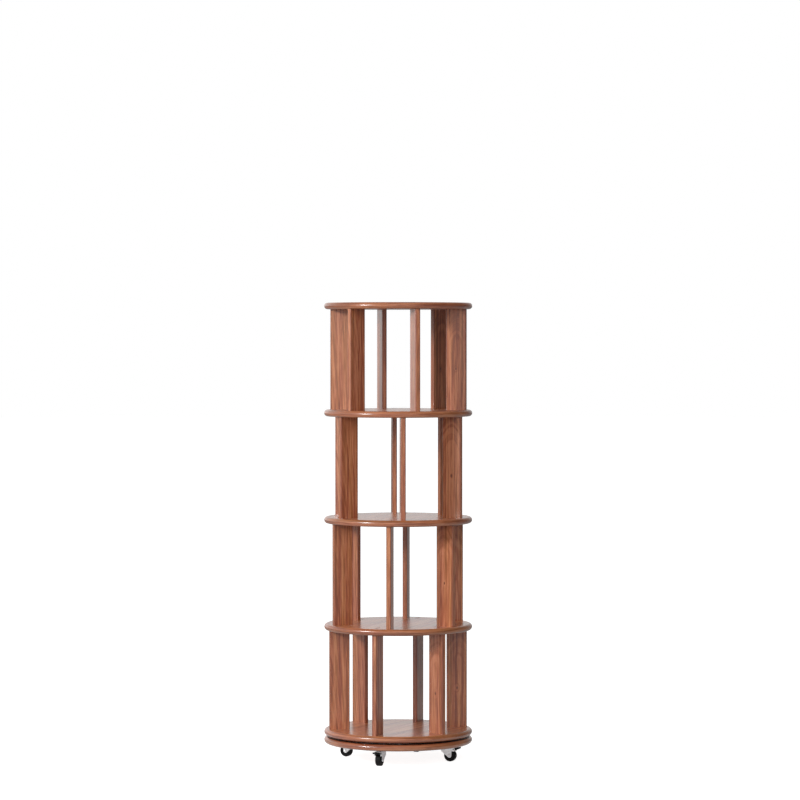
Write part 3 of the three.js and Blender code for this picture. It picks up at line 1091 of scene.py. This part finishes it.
def drilled(mesh, holes):
    """The mesh with a mesh of holes cut out of it."""
    body = placed("board", mesh)
    cutter = placed("holes", holes)
    cut = body.modifiers.new("holes", "BOOLEAN")
    cut.operation = "DIFFERENCE"
    cut.object = cutter
    cut.solver = "EXACT"
    board = plain(body)
    bpy.data.objects.remove(cutter)
    return board


paired_ring = paired_ring_tree()
sink_slope = (sink_radius - sink_foot_radius) / sink_depth
sink = turned(
    [
        (0, -sink_depth),
        (sink_foot_radius, -sink_depth),
        (sink_radius + sink_slope * overrun, overrun),
        (0, overrun),
    ],
    sink_round_steps,
)
shelf_heights = [(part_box(name)[0].z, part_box(name)[1].z) for name in shelf_names]
for level, name in enumerate(shelf_names):
    low, high = shelf_heights[level]
    layout = planks(shelf_grain_angles[level], level + 2, low if level == 0 else -1.0)
    wood = lacquered_wood(f"{name} wood", layout, heart_spread=0.06, tan_share=0.6)
    board = round_board(low, high, pocket_below=level == 0)
    if level > 0:
        sinks = grown(paired_ring, ring_sizes(level - 1, high, wood, from_below=False), sink.copy())
        board = drilled(board, sinks)
    if level < len(shelf_names) - 1:
        sinks = grown(paired_ring, ring_sizes(level, low, wood, from_below=True), sink.copy())
        board = drilled(board, sinks)
    finished(f"{name}_board", board, wood, "carousel", [name])


# Dividers: 24 boards set on edge like the spokes of a wheel, six to a tier, with rounded edges and the
# grain upright. Each tier is turned against the one below, so that their screws miss each other.
divider_width = 0.063
divider_thickness = 0.015
divider_corner = 0.003
divider_inset = 0.013
divider_radius = disc_radius - divider_inset - divider_width / 2
corner_steps = 6
seam_distance = 0.00001


def divider_tier_tree():
    """Geometry Nodes: a rounded board, copied round the axis, that knows its own places."""
    inputs = {"Count": "Int", "Width": "Float", "Thickness": "Float", "Corner": "Float", "Height": "Float"}
    inputs.update({"Radius": "Float", "Azimuth": "Float", "Foot": "Float", "Seed": "Int", "Wood": "Material"})
    tree, sizes = new_tree("divider tier", inputs)
    rectangle = {"Width": sizes["Width"], "Height": sizes["Thickness"]}
    outline = result(tree, "GeometryNodeCurvePrimitiveQuadrilateral", rectangle)
    corner = {"Curve": outline, "Radius": sizes["Corner"], "Count": corner_steps}
    rounded = result(tree, "GeometryNodeFilletCurve", corner, mode="POLY")
    foot = result(tree, "GeometryNodeFillCurve", {"Curve": rounded}, mode="NGONS")
    rise = vector(tree, z=sizes["Height"])
    upwards = {"Mesh": foot, "Offset": rise, "Offset Scale": 1.0, "Individual": False}
    walls = result(tree, "GeometryNodeExtrudeMesh", upwards, mode="FACES")
    sole = result(tree, "GeometryNodeFlipFaces", {"Mesh": foot})
    join = add(tree, "GeometryNodeJoinGeometry")
    for half in (walls, sole):
        tree.links.new(half.socket, join.inputs[0])
    seam = {"Geometry": Value(join.outputs[0]), "Distance": seam_distance}
    board = result(tree, "GeometryNodeMergeByDistance", seam)
    place = result(tree, "GeometryNodeInputPosition") - rise * (0.0, 0.0, 0.5)
    named = {"Geometry": board, "Name": "board_place", "Value": place}
    known = result(tree, "GeometryNodeStoreNamedAttribute", named, data_type="FLOAT_VECTOR", domain="POINT")

    index = result(tree, "GeometryNodeInputIndex")
    azimuth = sizes["Azimuth"] + index * (2 * math.pi / sizes["Count"])
    spot = radial_spot(azimuth, sizes["Radius"], sizes["Foot"])
    boards = copied(tree, known, sizes["Count"], spot, vector(tree, z=azimuth - math.pi / 2))
    drawing = {"Max": 1.0, "Seed": sizes["Seed"]}
    chance = result(tree, "FunctionNodeRandomValue", drawing, 1, data_type="FLOAT")
    named = {"Geometry": boards, "Name": "board_seed", "Value": chance}
    seeded = result(tree, "GeometryNodeStoreNamedAttribute", named, data_type="FLOAT", domain="INSTANCE")
    return ended(tree, seeded, sizes["Wood"])


def upright_board(tree):
    """How the grain of a divider lies: upright, from the places that its board knows."""
    place = result(tree, "ShaderNodeAttribute", output="Vector", attribute_name="board_place")
    board = result(tree, "ShaderNodeAttribute", output="Fac", attribute_name="board_seed")
    nowhere = board * 0.0
    return place, board, nowhere, nowhere


divider_tier = divider_tier_tree()
divider_wood = lacquered_wood("divider wood", upright_board, heart_spread=0.005, tan_share=0.35, knot=True)
for tier in range(len(shelf_names) - 1):
    foot = shelf_heights[tier][1]
    head = shelf_heights[tier + 1][0]
    divider_sizes = {
        "Count": dividers_per_tier,
        "Width": divider_width,
        "Thickness": divider_thickness,
        "Corner": divider_corner,
        "Height": head - foot,
        "Radius": divider_radius,
        "Azimuth": first_azimuth + tier * tier_twist,
        "Foot": foot,
        "Seed": tier,
        "Wood": divider_wood,
    }
    boards = grown(divider_tier, divider_sizes)
    nodes = [f"tier_{tier + 1}_divider_{spoke + 1}" for spoke in range(dividers_per_tier)]
    finished(f"tier_{tier + 1}_dividers", boards, divider_wood, "carousel", nodes)


# Divider screws: countersunk steel screws with hexagon sockets, two through each shelf into every
# divider end. Their dark heads sit just below the lacquered surface.
screw_radius = 0.0052
screw_sunk = 0.0003
screw_rim = 0.0004
socket_flats = 0.0022
socket_depth = 0.0010

bronze_dark = (0.075, 0.052, 0.040, 1)
bronze_worn = (0.21, 0.15, 0.11, 1)
bronze_worn_seen = (0.4, 0.75)
bronze_cloud_scale = (500.0, 500.0, 500.0)
bronze_dullness = (0.28, 0.42)
bronze_relief = (0.1, 0.00005)


def bronzed_steel():
    """Dark bronzed steel, a little brighter where the key has rubbed it."""
    material, tree, shader = new_material("bronzed steel", {"Metallic": 1.0})
    place = own_place(tree)
    cloud = place.noise(bronze_cloud_scale, cloud_detail)
    colour = mixed(tree, cloud.spread(*bronze_worn_seen), bronze_dark, bronze_worn)
    surface(shader, colour, cloud.spread(*cloud_seen, *bronze_dullness), cloud, *bronze_relief)
    return material


bronze = bronzed_steel()
divider_screw = turned(
    [
        (0, -screw_sunk - socket_depth),
        (socket_flats, -screw_sunk - socket_depth, 1),
        (socket_flats, -screw_sunk - screw_rim / 2, 1),
        (socket_flats + screw_rim / 2, -screw_sunk, 1),
        (screw_radius - screw_rim, -screw_sunk),
        (screw_radius, -screw_sunk - screw_rim / 2),
        (screw_radius, -sink_depth),
        (0, -sink_depth),
    ],
    small_round_steps,
    hexagon_sides,
)
screw_sets = []
for tier in range(len(shelf_names) - 1):
    lower_shelf_bottom = shelf_heights[tier][0]
    upper_shelf_top = shelf_heights[tier + 1][1]
    for height, from_below in ((upper_shelf_top, False), (lower_shelf_bottom, True)):
        screw_ring = ring_sizes(tier, height, bronze, from_below)
        screw_sets.append(grown(paired_ring, screw_ring, divider_screw.copy()))
finished("divider_screws", together(*screw_sets), bronze, "carousel")


# Studio: a plain white floor that can't be seen from below, and white surroundings that look darker from
# the right. A soft key light stands low on the left and a wide weak one in front, the camera far off.
camera_distance = 9.744
camera_height = 1.3226
camera_pitch = math.radians(1.2033)
camera_yaw = math.radians(0.0325)
focal_length_px = 3136
photo_width_px = 800
sensor_width = 36
floor_radius = 40
floor_sides = 64
floor_white = (0.70, 0.70, 0.70, 1)
floor_bounce = (0.38, 0.37, 0.36, 1)
floor_dullness = 0.9
floor_glow = 0.9
pure_white = (1, 1, 1, 1)
reflected_glow = 0.32
near_radius = 0.4
bright_side = -82
bright_reach = 0.05
dark_reach = -0.85
surround_dark = 0.06
surround_lighting = 0.4
overhead_rise = (0.2, 0.75)
overhead_dimming = 0.75


def aimed(thing, place, target):
    """Puts a light or camera at a place and points it at a target."""
    thing.location = place
    thing.rotation_euler = (Vector(target) - Vector(place)).to_track_quat("-Z", "Y").to_euler()


def soft_light(name, azimuth, elevation, distance, width, height, power):
    """A new area light aimed at the object, at an azimuth from the front towards +X."""
    lamp = bpy.data.lights.new(name, "AREA")
    lamp.shape = "RECTANGLE"
    lamp.size = width
    lamp.size_y = height
    lamp.energy = power
    thing = placed(name, lamp)
    turn = math.radians(azimuth)
    rise = math.radians(elevation)
    target = (0, 0, (cad_box[0].z + cad_box[1].z) / 2)
    reach = distance * math.cos(rise)
    place = (reach * math.sin(turn), -reach * math.cos(turn), target[2] + distance * math.sin(rise))
    aimed(thing, place, target)
    return thing


def rays(tree):
    """What kind of ray arrives, as values that are 1 for that kind and 0 for others."""
    return {socket.name: Value(socket) for socket in add(tree, "ShaderNodeLightPath").outputs}


floor_shape = bmesh.new()
bmesh.ops.create_circle(floor_shape, cap_ends=True, radius=floor_radius, segments=floor_sides)
floor_mesh = bpy.data.meshes.new("floor")
floor_shape.to_mesh(floor_mesh)
floor_shape.free()
floor = placed("floor", floor_mesh)
paint = {"Roughness": floor_dullness, "Specular IOR Level": 0.0, "Emission Color": pure_white}
floor_paint, floor_tree, floor_shader = new_material("white floor", paint)
floor_ray = rays(floor_tree)
floor_colour = mixed(floor_tree, floor_ray["Is Diffuse Ray"], floor_white, floor_bounce)
floor_tree.links.new(floor_colour.socket, floor_shader.inputs["Base Color"])
floor_reach = own_place(floor_tree).length()
# Painted pool of light: within a radius of the object the floor glows, seen only in reflections.
near_glow = floor_reach.spread(near_radius, near_radius * 2, reflected_glow, 0.0)
floor_light = floor_ray["Is Camera Ray"] * floor_glow + floor_ray["Is Glossy Ray"] * near_glow
floor_tree.links.new(floor_light.socket, floor_shader.inputs["Emission Strength"])
sides = {
    0: result(floor_tree, "ShaderNodeNewGeometry", output="Backfacing"),
    1: Value(floor_shader.outputs[0]),
    2: result(floor_tree, "ShaderNodeBsdfTransparent"),
}
one_sided = result(floor_tree, "ShaderNodeMixShader", sides)
floor_tree.links.new(one_sided.socket, floor_tree.nodes["Material Output"].inputs["Surface"])
floor_mesh.materials.append(floor_paint)

world = bpy.data.worlds.new("white surroundings")
bpy.context.scene.world = world
world.use_nodes = True
world_tree = world.node_tree
ray = rays(world_tree)
direction = result(world_tree, "ShaderNodeTexCoord", output="Generated")
towards_light = (math.sin(math.radians(bright_side)), -math.cos(math.radians(bright_side)), 0)
compared = {0: direction, 1: towards_light}
facing = result(world_tree, "ShaderNodeVectorMath", compared, "Value", operation="DOT_PRODUCT")
reflected = facing.spread(dark_reach, bright_reach, surround_dark, 1.0)
overhead = direction.parts()[2].spread(*overhead_rise, 0.0, overhead_dimming) * ray["Is Glossy Ray"]
reflected = reflected * overhead.spread(0.0, 1.0, 1.0, 0.0)
dimming = ray["Is Diffuse Ray"].spread(0.0, 1.0, 1.0, surround_lighting)
strength = ray["Is Camera Ray"].maths("MAXIMUM", reflected * dimming)
background = world_tree.nodes["Background"]
world_tree.links.new(strength.socket, background.inputs["Strength"])
background.inputs["Color"].default_value = pure_white

soft_light("key light", azimuth=-52.5, elevation=19, distance=6, width=0.9, height=0.9, power=190)
front_fill = soft_light("front fill light", azimuth=8, elevation=22, distance=6, width=4, height=3, power=94)
front_fill.visible_glossy = False

camera = placed("camera", bpy.data.cameras.new("camera"))
camera.location = (0, -camera_distance, camera_height)
camera.rotation_euler = (math.pi / 2 - camera_pitch, 0, -camera_yaw)
camera.data.sensor_width = sensor_width
camera.data.lens = focal_length_px / photo_width_px * sensor_width
bpy.context.scene.camera = camera
bpy.context.scene.view_settings.view_transform = "Standard"
